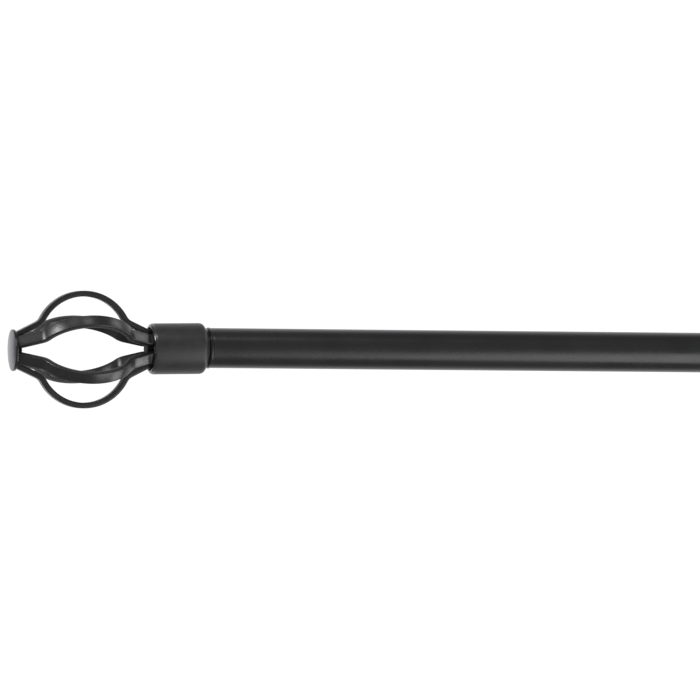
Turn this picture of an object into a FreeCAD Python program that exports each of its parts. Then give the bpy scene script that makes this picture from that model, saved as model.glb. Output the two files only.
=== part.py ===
import FreeCAD, Part
import math
import os

# An adjustable curtain rod: two tubes that telescope, a caged finial pushed into each end, and two
# wall brackets whose arms slide out. Millimetres. +X runs along the rod, +Y goes to the wall, +Z is up.
# Everything is drawn about the rod's axis, midway between the brackets, and save() moves it so that
# the origin is the centre of the left wall plate's back face.

V = FreeCAD.Vector
X = V(1, 0, 0)
Y = V(0, 1, 0)
Z = V(0, 0, 1)
PARTS = "parts"

# ---- the rod
outer_tube_r = 15.875 / 2
inner_tube_r = 12.7 / 2
tube_wall = 0.7
tube_edge = 0.3
outer_tube_length = 660.0
inner_tube_length = 670.0
rod_length = 800.0
left_end = -rod_length / 2
right_end = rod_length / 2
slip = 0.06  # radial play of a running fit

mouth_bush_depth = 12.0
mouth_bush_lip = 1.6
tail_bush_depth = 10.0
tail_bush_lip = 2.0

# ---- the finial, measured outwards from the tube's end
collar_r = 8.15
collar_length = 2.4
collar_edge = 0.6
plug_depth = 22.0
plug_bore_r = 3.8
plug_web = 2.0
plug_ribs = 6
plug_rib_width = 1.6

ferrule_r = 10.1
ferrule_length = 22.1
ferrule_wall = 1.3
ferrule_rim_edge = 1.2
ferrule_base_edge = 2.1
ferrule_web = 4.5

screw_r = 2.0
screw_head_r = 3.4
screw_head_height = 2.4
screw_reach = 16.0

bar_count = 6
bar_width = 4.7
bar_thickness = 2.3
bar_edge = 0.5
bar_tail_r = 7.9
bar_tail_start = 8.9
bar_tail_bend = 4.0
cage_centre = 51.3
cage_r = 23.25
arch_r = 19.85
kink_bend = 5.6
neck_reach = 27.35  # from the cage's centre to where the two neck heights below are taken
root_neck_r = 7.15
root_neck_slope = math.atan(0.49)
tip_neck_r = 7.22
tip_neck_slope = math.atan(0.481)

button_back = 79.0
button_thickness = 1.1
button_dome = 0.55
button_r = 8.15
button_edge = 0.45
button_boss_end = 77.2
hub_body_end = 21.5
hub_nose_end = 26.1
hub_nose_apothem = 3.3
hub_nose_edge = 0.4

# ---- the brackets
bracket_x = 160.0
projection = 70.0
plate_width = 26.0
plate_height = 62.0
plate_thickness = 2.5
plate_edge = 1.1
wall_hole_r = 2.3
wall_hole_countersink_r = 4.3
wall_hole_spacing = 42.0

socket_r = 6.5
socket_front = 30.0
socket_collar_r = 9.5
socket_collar_depth = 3.0
socket_edge = 0.8
arm_r = 4.1
arm_rear = 64.0
arm_tenon_r = 2.6
arm_tenon_length = 5.0
lock_y = 37.0

cradle_clearance = 0.3
cradle_wall = 2.4
cradle_width = 14.0
cradle_lip = 6.5
cradle_edge = 0.6
cradle_boss_r = 5.6
cradle_boss_end = 16.0

thumb_shank_r = 2.45
thumb_hole_r = 2.5
thumb_boss_r = 4.2
thumb_boss_height = 2.0
thumb_head_r = 5.5
thumb_head_length = 6.0
thumb_neck_r = 3.6
thumb_neck_length = 1.4
thumb_gap = 0.35  # between the boss and the neck when the screw is home
thumb_edge = 0.6
pad_r = 2.3
pad_thickness = 1.5
pad_gap = 0.2  # between a pad and the round face it presses on


# ---- helpers

def save(name, shape):
    """Write one sub-part as its own STEP file, with the left wall plate's back at the origin."""
    placed = shape.copy()
    placed.translate(V(bracket_x, -projection, 0))
    placed.exportStep(os.path.join(PARTS, name + ".step"))


def rod_solid(radius, start, direction, length):
    return Part.makeCylinder(radius, length, start, direction)


def turned(points):
    """A solid of revolution about X from (x, radius) points."""
    corners = [V(x, 0, r) for x, r in points]
    face = Part.Face(Part.makePolygon(corners + corners[:1]))
    return face.revolve(V(0, 0, 0), X, 360)


def ring_edges(shape, places, axis=X):
    """The circular edges at each (distance along axis, radius)."""
    found = []
    for edge in shape.Edges:
        curve = edge.Curve
        if not isinstance(curve, Part.Circle):
            continue
        along = curve.Center.dot(axis)
        for place, radius in places:
            if abs(along - place) < 0.01 and abs(curve.Radius - radius) < 0.01:
                found.append(edge)
    return found


def rounded(shape, radius, places, axis=X):
    return shape.makeFillet(radius, ring_edges(shape, places, axis))


def hex_wire(x, apothem):
    """A hexagon across the finial's axis, with a flat facing each cage bar."""
    corner_r = apothem / math.cos(math.pi / 6)
    corners = []
    for k in range(6):
        angle = math.radians(60 * k)
        corners.append(V(x, corner_r * math.cos(angle), corner_r * math.sin(angle)))
    return Part.makePolygon(corners + corners[:1])


def on_right_end(shape):
    moved = shape.copy()
    moved.translate(V(right_end, 0, 0))
    return moved


def on_left_end(shape):
    moved = shape.copy()
    moved.rotate(V(0, 0, 0), Z, 180)
    moved.translate(V(left_end, 0, 0))
    return moved


# ---- the tubes and the bushes between them

def tube(start, length, radius):
    wall = rod_solid(radius, V(start, 0, 0), X, length)
    wall = wall.cut(rod_solid(radius - tube_wall, V(start, 0, 0), X, length))
    return rounded(wall, tube_edge, [(start, radius), (start + length, radius)])


def mouth_bush():
    """The plastic ring in the outer tube's mouth that the inner tube runs through."""
    mouth = left_end + outer_tube_length
    bore = inner_tube_r + slip
    ring = turned([
        (mouth - mouth_bush_depth, bore),
        (mouth - mouth_bush_depth, outer_tube_r - tube_wall),
        (mouth, outer_tube_r - tube_wall),
        (mouth, outer_tube_r),
        (mouth + mouth_bush_lip, outer_tube_r),
        (mouth + mouth_bush_lip, bore),
    ])
    return rounded(ring, collar_edge, [(mouth + mouth_bush_lip, outer_tube_r)])


def tail_bush():
    """The glider on the inner tube's hidden end, running in the outer tube."""
    end = right_end - inner_tube_length
    inside = inner_tube_r - tube_wall
    return turned([
        (end - tail_bush_lip, inside - 1.5),
        (end - tail_bush_lip, outer_tube_r - tube_wall - slip),
        (end, outer_tube_r - tube_wall - slip),
        (end, inside),
        (end + tail_bush_depth, inside),
        (end + tail_bush_depth, inside - 1.5),
    ])


# ---- the finial's plug, ferrule, hub and button, along +X from the tube's end

def plug(tube_bore_r):
    """A ribbed plastic plug with a collar that shows between the tube and the ferrule."""
    core_r = tube_bore_r - 0.7
    body = turned([
        (-plug_depth, plug_bore_r),
        (-plug_depth, core_r),
        (0, core_r),
        (0, collar_r),
        (collar_length, collar_r),
        (collar_length, screw_r + slip),
        (-plug_web, screw_r + slip),
        (-plug_web, plug_bore_r),
    ])
    body = rounded(body, collar_edge, [(0, collar_r), (collar_length, collar_r)])
    reach = rod_solid(tube_bore_r - slip, V(-plug_depth, 0, 0), X, plug_depth)
    reach = reach.cut(rod_solid(plug_bore_r, V(-plug_depth, 0, 0), X, plug_depth))
    for k in range(plug_ribs):
        rib = Part.makeBox(plug_depth, plug_rib_width, tube_bore_r,
                           V(-plug_depth, -plug_rib_width / 2, 0))
        rib.rotate(V(0, 0, 0), X, 360 * k / plug_ribs)
        body = body.fuse(rib.common(reach))
    return body.removeSplitter()


def plug_screw():
    """The screw that pulls the ferrule and the cage's hub against the plug."""
    head = -plug_web - screw_head_height
    return turned([
        (head, 0),
        (head, screw_head_r),
        (-plug_web, screw_head_r),
        (-plug_web, screw_r),
        (screw_reach, screw_r),
        (screw_reach, 0),
    ])


def ferrule():
    """The round cup that the cage's bars go into."""
    base = collar_length
    mouth = base + ferrule_length
    bore_r = ferrule_r - ferrule_wall
    floor = base + ferrule_web
    cup = turned([
        (base, screw_r + 0.25),
        (base, ferrule_r),
        (mouth, ferrule_r),
        (mouth, bore_r),
        (floor, bore_r),
        (floor, screw_r + 0.25),
    ])
    cup = rounded(cup, ferrule_base_edge, [(base, ferrule_r)])
    cup = rounded(cup, ferrule_rim_edge, [(mouth, ferrule_r)])
    return cup.cut(rod_solid(bore_r, V(floor, 0, 0), X, ferrule_length))


def neck_line(reach, outer_r, slope):
    """(point, outward normal) of a neck's middle line, in (distance from the cage's centre, radius)."""
    normal = (math.sin(slope), math.cos(slope))
    half = bar_thickness / 2
    return (reach - half * normal[0], outer_r - half * normal[1]), normal


def inner_face_r(distance, outer_r, slope):
    """The radius of a bar's inner face on its neck, at a distance from the cage's centre."""
    return outer_r + (neck_reach - distance) * math.tan(slope) - bar_thickness / math.cos(slope)


def hub():
    """The six-sided core inside the ferrule that the bars are welded round, with a narrower nose."""
    apothem = bar_tail_r - bar_thickness
    seat = collar_length + ferrule_web
    body = Part.makeLoft([hex_wire(seat, apothem), hex_wire(hub_body_end, apothem)], True, True)
    nose = Part.makeLoft([
        hex_wire(hub_body_end, hub_nose_apothem),
        hex_wire(hub_nose_end - hub_nose_edge, hub_nose_apothem),
        hex_wire(hub_nose_end, hub_nose_apothem - hub_nose_edge),
    ], True, True)
    core = body.fuse(nose).removeSplitter()
    return core.cut(rod_solid(screw_r + slip, V(seat, 0, 0), X, screw_reach - seat + 0.5))


def button():
    """The domed disc at the tip, with a six-sided boss between the bars' ends."""
    rim = button_back + button_thickness
    crown = rim + button_dome
    dome_r = (button_r ** 2 + button_dome ** 2) / (2 * button_dome)
    blank = rod_solid(button_r, V(button_back, 0, 0), X, crown - button_back)
    disc = blank.common(Part.makeSphere(dome_r, V(crown - dome_r, 0, 0)))
    disc = rounded(disc, button_edge, [(button_back, button_r), (rim, button_r)])
    wide = inner_face_r(button_boss_end - cage_centre, tip_neck_r, tip_neck_slope)
    narrow = inner_face_r(button_back - cage_centre, tip_neck_r, tip_neck_slope)
    wires = [hex_wire(button_boss_end, wide), hex_wire(button_back, narrow)]
    return disc.fuse(Part.makeLoft(wires, True, True)).removeSplitter()


# ---- one bar of the cage, drawn as a flat strip on edge and then given its width

def arc(centre, start, end, side=1):
    """The shorter arc about a centre between two points."""
    a = start - centre
    b = end - centre
    middle = (a + b) * side
    middle.normalize()
    return Part.Arc(start, centre + middle * a.Length, end).toShape()


def line(start, end):
    return Part.LineSegment(start, end).toShape()


def half_bar(offset, toward_tip):
    """Edges from the arch's foot to the bar's end, offset outwards from the bar's middle line."""
    outer_r, slope = (tip_neck_r, tip_neck_slope) if toward_tip else (root_neck_r, root_neck_slope)
    sign = 1 if toward_tip else -1

    def at(distance, radius):
        return V(cage_centre + sign * distance, 0, radius)

    (px, pz), (nx, nz) = neck_line(neck_reach, outer_r, slope)
    arch_height = cage_r - arch_r
    middle_r = arch_r - bar_thickness / 2
    # the kink's centre lies kink_bend outside both the neck and the arch
    ox = px + kink_bend * nx
    oz = pz + kink_bend * nz - arch_height
    along = -ox * nz + oz * nx
    free = ox * ox + oz * oz - (middle_r + kink_bend) ** 2
    step = -along - math.sqrt(along * along - free)
    kx = ox - step * nz
    kz = oz + step * nx
    reach = math.hypot(kx, kz)
    foot = at(kx / reach * (middle_r + offset), arch_height + kz / reach * (middle_r + offset))
    kink = at(kx, arch_height + kz)
    neck_top = at(kx - nx * (kink_bend - offset), arch_height + kz - nz * (kink_bend - offset))
    edges = [arc(kink, foot, neck_top)]
    if toward_tip:
        end = button_back - cage_centre
        rise = (px * nx + pz * nz + offset - end * nx) / nz
        edges.append(line(neck_top, at(end, rise)))
        return foot, edges, at(end, rise)
    tail_middle = bar_tail_r - bar_thickness / 2
    bend_z = tail_middle + bar_tail_bend
    bend_x = (px * nx + pz * nz + bar_tail_bend - bend_z * nz) / nx
    bend = at(bend_x, bend_z)
    turn = bar_tail_bend - offset
    neck_foot = at(bend_x - nx * turn, bend_z - nz * turn)
    tail_top = at(bend_x, bend_z - turn)
    tail_end = at(cage_centre - bar_tail_start, tail_middle + offset)
    edges += [line(neck_top, neck_foot), arc(bend, neck_foot, tail_top), line(tail_top, tail_end)]
    return foot, edges, tail_end


def bar_side(offset):
    """All edges of one face of the bar, and its two ends."""
    root_foot, root_edges, root_end = half_bar(offset, False)
    tip_foot, tip_edges, tip_end = half_bar(offset, True)
    crown = V(cage_centre, 0, cage_r - bar_thickness / 2 + offset)
    arch = Part.Arc(root_foot, crown, tip_foot).toShape()
    return root_edges + [arch] + tip_edges, root_end, tip_end


def cage_bar(turn):
    half = bar_thickness / 2
    outer, outer_root, outer_tip = bar_side(half)
    inner, inner_root, inner_tip = bar_side(-half)
    ends = [line(outer_root, inner_root), line(outer_tip, inner_tip)]
    loop = Part.Wire(Part.__sortEdges__(outer + inner + ends))
    strip = Part.Face(loop)
    strip.translate(V(0, -bar_width / 2, 0))
    solid = strip.extrude(V(0, bar_width, 0))
    long_edges = []
    for edge in solid.Edges:
        box = edge.BoundBox
        on_side = box.YLength < 0.001
        at_end = on_side and box.XLength < 0.001
        if on_side and not at_end:
            long_edges.append(edge)
    solid = solid.makeFillet(bar_edge, long_edges)
    solid.rotate(V(0, 0, 0), X, turn)
    return solid


# ---- the brackets, with their own x at 0

def wall_plate():
    half_width = plate_width / 2
    straight = plate_height / 2 - half_width
    front = projection - plate_thickness
    plate = Part.makeBox(plate_width, plate_thickness, 2 * straight, V(-half_width, front, -straight))
    for end in (-straight, straight):
        plate = plate.fuse(rod_solid(half_width, V(0, front, end), Y, plate_thickness))
    plate = plate.removeSplitter()
    rim = [e for e in plate.Edges if e.BoundBox.YLength < 0.001 and abs(e.BoundBox.YMin - front) < 0.01]
    plate = plate.makeFillet(plate_edge, rim)
    sink = wall_hole_countersink_r - wall_hole_r
    for side in (-1, 1):
        place = V(0, front, side * wall_hole_spacing / 2)
        plate = plate.cut(rod_solid(wall_hole_r, place, Y, plate_thickness))
        plate = plate.cut(Part.makeCone(wall_hole_countersink_r, wall_hole_r, sink * 0.75, place, Y))
    return plate


def socket():
    """The tube on the wall plate that the arm slides in, with a threaded boss under it."""
    rear = projection - plate_thickness
    body = rod_solid(socket_r, V(0, socket_front, 0), Y, rear - socket_front)
    body = rounded(body, socket_edge, [(socket_front, socket_r)], Y)
    collar = rod_solid(socket_collar_r, V(0, rear - socket_collar_depth, 0), Y, socket_collar_depth)
    collar = rounded(collar, socket_edge, [(rear - socket_collar_depth, socket_collar_r)], Y)
    boss = rod_solid(thumb_boss_r, V(0, lock_y, 0), -Z, socket_r + thumb_boss_height)
    body = body.fuse(collar).fuse(boss)
    body = body.cut(rod_solid(arm_r + slip, V(0, socket_front, 0), Y, rear - socket_front))
    body = body.cut(rod_solid(thumb_hole_r, V(0, lock_y, 0), -Z, 2 * socket_r))
    return body.removeSplitter()


def arm():
    bar = rod_solid(arm_r, V(0, cradle_boss_end, 0), Y, arm_rear - cradle_boss_end)
    bar = rounded(bar, socket_edge, [(arm_rear, arm_r)], Y)
    tenon = rod_solid(arm_tenon_r, V(0, cradle_boss_end - arm_tenon_length, 0), Y, arm_tenon_length)
    return bar.fuse(tenon)


def cradle():
    """The open-topped hook that the rod lies in, bent from flat strip."""
    inner = outer_tube_r + cradle_clearance
    outer = inner + cradle_wall
    side = V(-cradle_width / 2, 0, 0)
    strip = rod_solid(outer, side, X, cradle_width)
    strip = strip.fuse(Part.makeBox(cradle_width, 2 * outer, cradle_lip, side + V(0, -outer, 0)))
    above = Part.makeBox(cradle_width, 2 * outer, outer, side + V(0, -outer, cradle_lip))
    strip = strip.cut(above).removeSplitter()
    hollow = rod_solid(inner, side, X, cradle_width)
    hollow = hollow.fuse(Part.makeBox(cradle_width, 2 * inner, outer, side + V(0, -inner, 0)))
    strip = strip.cut(hollow).removeSplitter()
    rims = []
    for edge in strip.Edges:
        box = edge.BoundBox
        if box.XLength < 0.001:
            rims.append(edge)
    strip = strip.makeFillet(cradle_edge, rims)
    rear_boss = rod_solid(cradle_boss_r, V(0, 0, 0), Y, cradle_boss_end)
    rear_boss = rounded(rear_boss, socket_edge, [(cradle_boss_end, cradle_boss_r)], Y)
    front_boss = rod_solid(thumb_boss_r, V(0, 0, 0), -Y, outer + thumb_boss_height)
    bosses = rear_boss.fuse(front_boss).cut(hollow)
    body = strip.fuse(bosses).removeSplitter()
    tenon_hole = rod_solid(arm_tenon_r, V(0, cradle_boss_end - arm_tenon_length, 0), Y, arm_tenon_length)
    body = body.cut(tenon_hole)
    return body.cut(rod_solid(thumb_hole_r, V(0, 0, 0), -Y, 2 * outer))


def thumb_screw(start, boss_face):
    """A thumb screw along +X from its pad's back to its head, with its boss's face at boss_face."""
    neck = boss_face + thumb_gap
    head = neck + thumb_neck_length
    end = head + thumb_head_length
    body = turned([
        (start, 0),
        (start, thumb_shank_r),
        (neck, thumb_shank_r),
        (neck, thumb_neck_r),
        (head, thumb_neck_r),
        (head, thumb_head_r),
        (end, thumb_head_r),
        (end, 0),
    ])
    return rounded(body, thumb_edge, [(head, thumb_head_r), (end, thumb_head_r)])


def pad(face):
    return rod_solid(pad_r, V(face, 0, 0), X, pad_thickness)


def toward_room(shape):
    """Turns +X to -Y, for the screw that holds the rod."""
    moved = shape.copy()
    moved.rotate(V(0, 0, 0), Z, -90)
    return moved


def downward(shape):
    """Turns +X to -Z and moves it under the socket, for the screw that holds the arm."""
    moved = shape.copy()
    moved.rotate(V(0, 0, 0), Y, 90)
    moved.translate(V(0, lock_y, 0))
    return moved


# ---- everything in place

def save_rod():
    save("outer_tube", tube(left_end, outer_tube_length, outer_tube_r))
    save("inner_tube", tube(right_end - inner_tube_length, inner_tube_length, inner_tube_r))
    save("mouth_bush", mouth_bush())
    save("tail_bush", tail_bush())


def save_finial(side, place, tube_r):
    save(side + "_plug", place(plug(tube_r - tube_wall)))
    save(side + "_plug_screw", place(plug_screw()))
    save(side + "_ferrule", place(ferrule()))
    save(side + "_cage_hub", place(hub()))
    save(side + "_tip_button", place(button()))
    for k in range(bar_count):
        save(f"{side}_cage_bar_{k + 1}", place(cage_bar(360 * k / bar_count)))


def save_bracket(side, x):
    rod_pad_face = outer_tube_r + pad_gap
    rod_boss_face = outer_tube_r + cradle_clearance + cradle_wall + thumb_boss_height
    arm_pad_face = arm_r + pad_gap
    arm_boss_face = socket_r + thumb_boss_height
    pieces = {
        "wall_plate": wall_plate(),
        "arm_socket": socket(),
        "arm": arm(),
        "cradle": cradle(),
        "rod_pad": toward_room(pad(rod_pad_face)),
        "rod_screw": toward_room(thumb_screw(rod_pad_face + pad_thickness, rod_boss_face)),
        "arm_pad": downward(pad(arm_pad_face)),
        "arm_screw": downward(thumb_screw(arm_pad_face + pad_thickness, arm_boss_face)),
    }
    for name, shape in pieces.items():
        shape.translate(V(x, 0, 0))
        save(f"{side}_{name}", shape)


os.makedirs(PARTS, exist_ok=True)
save_rod()
save_finial("left", on_left_end, outer_tube_r)
save_finial("right", on_right_end, inner_tube_r)
save_bracket("left", -bracket_x)
save_bracket("right", bracket_x)
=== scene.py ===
import bpy, bmesh, math
from mathutils import Matrix, Vector


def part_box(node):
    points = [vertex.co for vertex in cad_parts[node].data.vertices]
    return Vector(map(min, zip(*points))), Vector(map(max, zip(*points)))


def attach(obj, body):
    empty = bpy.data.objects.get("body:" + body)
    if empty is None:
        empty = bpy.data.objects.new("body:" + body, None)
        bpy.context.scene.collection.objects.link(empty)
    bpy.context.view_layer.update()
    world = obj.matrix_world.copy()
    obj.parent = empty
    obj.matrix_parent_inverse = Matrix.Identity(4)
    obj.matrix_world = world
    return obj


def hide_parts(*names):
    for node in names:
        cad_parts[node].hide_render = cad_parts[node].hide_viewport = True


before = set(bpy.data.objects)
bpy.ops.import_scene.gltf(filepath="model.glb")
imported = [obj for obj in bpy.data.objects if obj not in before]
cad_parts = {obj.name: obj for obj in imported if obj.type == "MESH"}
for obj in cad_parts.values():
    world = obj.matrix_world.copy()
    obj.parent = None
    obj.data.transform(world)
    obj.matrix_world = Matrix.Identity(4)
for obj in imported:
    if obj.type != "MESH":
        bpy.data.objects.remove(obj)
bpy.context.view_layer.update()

# An adjustable curtain rod in black satin paint, with a caged finial at each end and two wall brackets.
# Metres, in the same frame as the CAD: +X along the rod, +Y into the wall, +Z up.
scene = bpy.context.scene
mm = 0.001

# Where the rod lies.
outerLow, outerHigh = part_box("outer_tube")
innerLow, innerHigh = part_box("inner_tube")
rodY = (outerLow.y + outerHigh.y) / 2
leftEnd = outerLow.x
rightEnd = innerHigh.x
outerRadius = (outerHigh.z - outerLow.z) / 2
innerRadius = (innerHigh.z - innerLow.z) / 2


def newMaterial(name, principled):
    material = bpy.data.materials.new(name)
    material.use_nodes = True
    nodes = material.node_tree.nodes
    shader = nodes["Principled BSDF"]
    for label, value in principled.items():
        shader.inputs[label].default_value = value
    return material, nodes, material.node_tree.links, shader


def noiseAt(nodes, links, source, scale, detail):
    noise = nodes.new("ShaderNodeTexNoise")
    noise.inputs["Scale"].default_value = scale
    noise.inputs["Detail"].default_value = detail
    noise.inputs["Roughness"].default_value = 0.55
    links.new(source, noise.inputs["Vector"])
    return noise.outputs["Fac"]


def rampOf(nodes, links, fac, stops):
    ramp = nodes.new("ShaderNodeValToRGB")
    elements = ramp.color_ramp.elements
    while len(elements) < len(stops):
        elements.new(0.5)
    for element, (place, color) in zip(elements, stops):
        element.position = place
        element.color = (*color, 1)
    links.new(fac, ramp.inputs["Fac"])
    return ramp.outputs["Color"]


def rangeOf(nodes, links, fac, low, high, fromLow=0.3, fromHigh=0.7):
    spread = nodes.new("ShaderNodeMapRange")
    spread.inputs["From Min"].default_value = fromLow
    spread.inputs["From Max"].default_value = fromHigh
    spread.inputs["To Min"].default_value = low
    spread.inputs["To Max"].default_value = high
    links.new(fac, spread.inputs["Value"])
    return spread.outputs["Result"]


def bumpOf(nodes, links, height, distance, under=None):
    bump = nodes.new("ShaderNodeBump")
    bump.inputs["Strength"].default_value = 1.0
    bump.inputs["Distance"].default_value = distance
    links.new(height, bump.inputs["Height"])
    if under:
        links.new(under, bump.inputs["Normal"])
    return bump.outputs["Normal"]


def objectPoint(nodes, links, stretch=(1, 1, 1)):
    place = nodes.new("ShaderNodeTexCoord").outputs["Object"]
    mapping = nodes.new("ShaderNodeMapping")
    mapping.inputs["Scale"].default_value = stretch
    links.new(place, mapping.inputs["Vector"])
    return mapping.outputs["Vector"]


# Sprayed black paint: an orange-peel skin, uneven gloss and a few fine nibs.
def satinPaint(name, look):
    material, nodes, links, shader = newMaterial(name, {"Specular IOR Level": look["specular"]})
    point = objectPoint(nodes, links)
    drawn = objectPoint(nodes, links, (0.06, 1, 1))  # long soft streaks along the rod
    patches = noiseAt(nodes, links, point, look["patchScale"], 4)
    streaks = noiseAt(nodes, links, drawn, look["streakScale"], 2)
    color = rampOf(nodes, links, patches, [(0.3, look["dark"]), (0.7, look["light"])])
    links.new(color, shader.inputs["Base Color"])
    gloss = nodes.new("ShaderNodeMath")
    gloss.operation = "ADD"
    links.new(rangeOf(nodes, links, patches, look["roughLow"], look["roughHigh"]), gloss.inputs[0])
    links.new(rangeOf(nodes, links, streaks, -0.02, 0.03), gloss.inputs[1])
    links.new(gloss.outputs[0], shader.inputs["Roughness"])
    peel = noiseAt(nodes, links, point, look["peelScale"], 1.5)
    skin = bumpOf(nodes, links, peel, look["peelDepth"])
    cells = nodes.new("ShaderNodeTexVoronoi")
    cells.inputs["Scale"].default_value = look["nibScale"]
    links.new(point, cells.inputs["Vector"])
    nibs = rangeOf(nodes, links, cells.outputs["Distance"], 1, 0, 0.02, 0.10)
    links.new(bumpOf(nodes, links, nibs, look["nibHeight"], skin), shader.inputs["Normal"])
    return material


paintLooks = {
    "tubePaint": {"dark": (0.0105, 0.0105, 0.0108), "light": (0.014, 0.014, 0.0142), "specular": 0.5,
                  "roughLow": 0.23, "roughHigh": 0.29, "patchScale": 60, "streakScale": 260,
                  "peelScale": 1500, "peelDepth": 0.000012, "nibScale": 420, "nibHeight": 0.000006},
    "ferrulePaint": {"dark": (0.022, 0.022, 0.0218), "light": (0.030, 0.030, 0.0295), "specular": 0.40,
                     "roughLow": 0.37, "roughHigh": 0.45, "patchScale": 240, "streakScale": 500,
                     "peelScale": 2600, "peelDepth": 0.00002, "nibScale": 500, "nibHeight": 0.00001},
    "buttonPaint": {"dark": (0.012, 0.012, 0.0125), "light": (0.017, 0.017, 0.0177), "specular": 0.5,
                    "roughLow": 0.11, "roughHigh": 0.18, "patchScale": 260, "streakScale": 900,
                    "peelScale": 900, "peelDepth": 0.000008, "nibScale": 500, "nibHeight": 0.000004},
    "cagePaint": {"dark": (0.0105, 0.0105, 0.011), "light": (0.015, 0.015, 0.0155), "specular": 0.5,
                  "roughLow": 0.27, "roughHigh": 0.36, "patchScale": 200, "streakScale": 700,
                  "peelScale": 1700, "peelDepth": 0.000022, "nibScale": 450, "nibHeight": 0.00001},
    "edgePaint": {"dark": (0.016, 0.016, 0.0163), "light": (0.024, 0.024, 0.0243), "specular": 1.0,
                  "roughLow": 0.14, "roughHigh": 0.22, "patchScale": 300, "streakScale": 700,
                  "peelScale": 1500, "peelDepth": 0.000008, "nibScale": 450, "nibHeight": 0.000004},
    "hubPaint": {"dark": (0.009, 0.009, 0.0095), "light": (0.013, 0.013, 0.0135), "specular": 0.22,
                 "roughLow": 0.50, "roughHigh": 0.62, "patchScale": 300, "streakScale": 700,
                 "peelScale": 2000, "peelDepth": 0.00003, "nibScale": 450, "nibHeight": 0.000012},
    "bracketPaint": {"dark": (0.012, 0.012, 0.0123), "light": (0.018, 0.018, 0.0183), "specular": 0.5,
                     "roughLow": 0.32, "roughHigh": 0.42, "patchScale": 120, "streakScale": 500,
                     "peelScale": 1900, "peelDepth": 0.000025, "nibScale": 450, "nibHeight": 0.000012},
}
paints = {name: satinPaint(name, look) for name, look in paintLooks.items()}


# Moulded plastic with a fine spark-eroded grain and faint flow marks.
def mouldedPlastic(name, look):
    material, nodes, links, shader = newMaterial(name, {"Subsurface Weight": look["subsurface"]})
    shader.inputs["Subsurface Radius"].default_value = (0.002, 0.0016, 0.0012)
    shader.inputs["Subsurface Scale"].default_value = 0.5
    point = objectPoint(nodes, links)
    flow = noiseAt(nodes, links, point, look["flowScale"], 3)
    links.new(rampOf(nodes, links, flow, [(0.35, look["dark"]), (0.65, look["light"])]),
              shader.inputs["Base Color"])
    links.new(rangeOf(nodes, links, flow, look["roughLow"], look["roughHigh"]), shader.inputs["Roughness"])
    grain = noiseAt(nodes, links, point, look["grainScale"], 2)
    links.new(bumpOf(nodes, links, grain, look["grainDepth"]), shader.inputs["Normal"])
    return material


blackPlastic = mouldedPlastic("blackPlastic", {
    "dark": (0.010, 0.010, 0.0105), "light": (0.016, 0.016, 0.0165), "subsurface": 0.0,
    "roughLow": 0.17, "roughHigh": 0.26, "flowScale": 160, "grainScale": 5200, "grainDepth": 0.000008})
paleNylon = mouldedPlastic("paleNylon", {
    "dark": (0.62, 0.60, 0.54), "light": (0.74, 0.72, 0.67), "subsurface": 0.3,
    "roughLow": 0.38, "roughHigh": 0.52, "flowScale": 300, "grainScale": 4200, "grainDepth": 0.00001})


# Bright zinc plate with the faint yellow and blue cast of its passivation.
def zincPlate(name, look):
    material, nodes, links, shader = newMaterial(name, {"Metallic": 1.0})
    point = objectPoint(nodes, links)
    cast = noiseAt(nodes, links, point, look["castScale"], 3)
    links.new(rampOf(nodes, links, cast, [(0.3, look["blue"]), (0.5, look["plain"]), (0.7, look["yellow"])]),
              shader.inputs["Base Color"])
    links.new(rangeOf(nodes, links, cast, 0.24, 0.38), shader.inputs["Roughness"])
    scratches = noiseAt(nodes, links, objectPoint(nodes, links, (0.1, 1, 1)), look["scratchScale"], 4)
    links.new(bumpOf(nodes, links, scratches, look["scratchDepth"]), shader.inputs["Normal"])
    return material


zinc = zincPlate("zincPlate", {"blue": (0.52, 0.55, 0.60), "plain": (0.62, 0.62, 0.60),
                               "yellow": (0.66, 0.62, 0.50), "castScale": 350, "scratchScale": 3000,
                               "scratchDepth": 0.000006})
print("materials made")


smoothAngle = 35  # faces that meet more sharply than this keep a hard edge


def finish(piece, material, angle=smoothAngle):
    piece.data.materials.clear()
    piece.data.materials.append(material)
    piece.data.shade_smooth()
    piece.data.set_sharp_from_angle(angle=math.radians(angle))
    return piece


# The faces between two places along the rod get the paint that handling has rubbed glossy.
def polishEdge(piece, low, high, material):
    piece.data.materials.append(material)
    for face in piece.data.polygons:
        if low < face.center.x < high:
            face.material_index = 1


def objectFrom(name, bm):
    bmesh.ops.remove_doubles(bm, verts=bm.verts, dist=1e-7)
    bmesh.ops.recalc_face_normals(bm, faces=bm.faces)
    mesh = bpy.data.meshes.new(name)
    bm.to_mesh(mesh)
    bm.free()
    piece = bpy.data.objects.new(name, mesh)
    scene.collection.objects.link(piece)
    return piece


# Turns (x, r, fillet) corners in millimetres into points, each corner as an arc.
def roundCorners(corners, closed=True):
    points = []
    count = len(corners)
    for i, (x, r, fillet) in enumerate(corners):
        here = Vector((x, r))
        if fillet == 0 or (not closed and i in (0, count - 1)):
            points.append(here)
            continue
        before = (Vector(corners[i - 1][:2]) - here).normalized()
        after = (Vector(corners[(i + 1) % count][:2]) - here).normalized()
        half = before.angle(after) / 2
        start = here + before * fillet / math.tan(half)
        centre = here + (before + after).normalized() * fillet / math.sin(half)
        sweep = math.pi - 2 * half
        turnSign = 1 if before.x * after.y - before.y * after.x < 0 else -1
        steps = max(3, round(math.degrees(sweep) / 9))
        arm = start - centre
        for k in range(steps + 1):
            angle = turnSign * sweep * k / steps
            points.append(centre + Matrix.Rotation(angle, 2) @ arm)
    return points


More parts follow.
